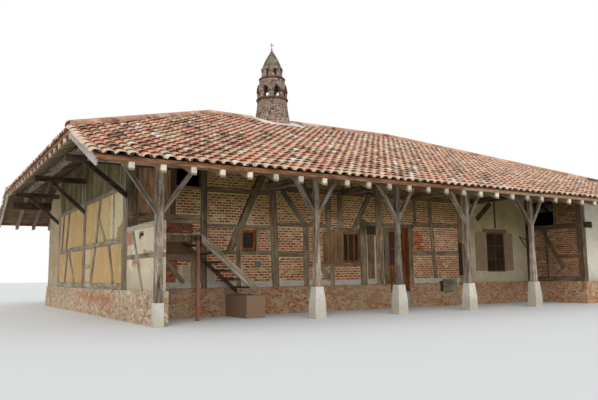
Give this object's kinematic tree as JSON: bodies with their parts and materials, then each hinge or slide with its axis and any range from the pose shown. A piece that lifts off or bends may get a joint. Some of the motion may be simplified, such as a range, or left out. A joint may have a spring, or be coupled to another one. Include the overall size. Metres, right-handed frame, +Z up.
{
  "type": "farmhouse with chimney tower",
  "caption": "Long half-timbered brick farmhouse with a hipped tile roof, a post gallery with outside stair, and a round arcaded chimney tower with a pointed cap and cross on the ridge.",
  "frame": {"origin": "centre of the roof's outline in plan, at the lowest ground the walls and posts reach", "axes": "+X along the ridge from the gabled left end to the right block, +Y from the gallery front to the back, +Z up"},
  "size_m": [21.6, 16.18, 9.64],
  "materials": {
    "stone": "rough rubble",
    "floor_stone": "worn slabs",
    "grey_timber": "weathered",
    "dark_timber": "weathered",
    "brick_infill": "matte brickwork",
    "dark_brick": "matte brickwork",
    "ochre_daub": "rough earth render",
    "rubble_render": "rough lime render",
    "lime_plaster": "matte plaster",
    "rafter_wood": "sawn",
    "roof_tiles": "matte fired clay",
    "ridge_tiles": "matte fired clay in mortar",
    "eave_board": "stained",
    "shutter_wood": "weathered",
    "orange_paint": "worn paint",
    "window_pane": "clear",
    "door_pane": "clear",
    "door_wood": "varnished",
    "wrought_iron": "rusted",
    "mortar": "rough mortar",
    "tower_brick": "weathered brickwork",
    "spire_render": "weathered render"
  },
  "bodies": {
    "root": {"plinth_left": "stone", "plinth_front": "stone", "plinth_back": "stone", "plinth_right": "stone", "door_step": "floor_stone", "ground_floor": "floor_stone", "front_frame_left": "dark_timber", "front_frame_right": "dark_timber", "front_beams": "dark_timber", "front_infill": "brick_infill", "plaster_wall": "lime_plaster", "plaster_wall_timbers": "dark_timber", "left_frame": "grey_timber", "left_infill": "ochre_daub", "left_boards": "grey_timber", "corner_pier": "rubble_render", "low_wall": "lime_plaster", "low_wall_timbers": "grey_timber", "return_frame": "dark_timber", "return_infill": "dark_brick", "block_front_wall": "lime_plaster", "right_frame": "dark_timber", "right_infill": "brick_infill", "back_frame": "dark_timber", "back_infill": "brick_infill", "gallery_stones": "stone", "gallery_posts": "grey_timber", "gallery_braces": "grey_timber", "gallery_plate": "grey_timber", "gallery_ties": "dark_timber", "roof_trusses": "dark_timber", "eave_brackets": "dark_timber", "eave_purlin": "grey_timber", "rafters": "rafter_wood", "ridge_and_hips": "rafter_wood", "roof_front": "roof_tiles", "roof_back": "roof_tiles", "roof_left": "roof_tiles", "roof_right": "roof_tiles", "eave_boards": "eave_board", "ridge_capping": "ridge_tiles", "stair": "grey_timber", "landing": "grey_timber", "shutters": "shutter_wood", "window_frames": "orange_paint", "window_glass": "window_pane", "hinge_pins": "wrought_iron", "chimney_flashing": "mortar", "chimney_base": "tower_brick", "chimney_rings": "tower_brick", "chimney_arcade": "tower_brick", "chimney_lantern": "tower_brick", "chimney_spire": "spire_render", "chimney_cross": "wrought_iron"},
    "door": {"main_door": "door_wood", "door_glass": "door_pane", "door_straps": "wrought_iron"}
  },
  "joints": [
    {"name": "main_door_hinge", "type": "hinge", "parent": "root", "child": "door", "pos_m": [-1.103, -4.351, 1.46], "axis": [0, 0, 1], "range_deg": [0, 90]}
  ]
}
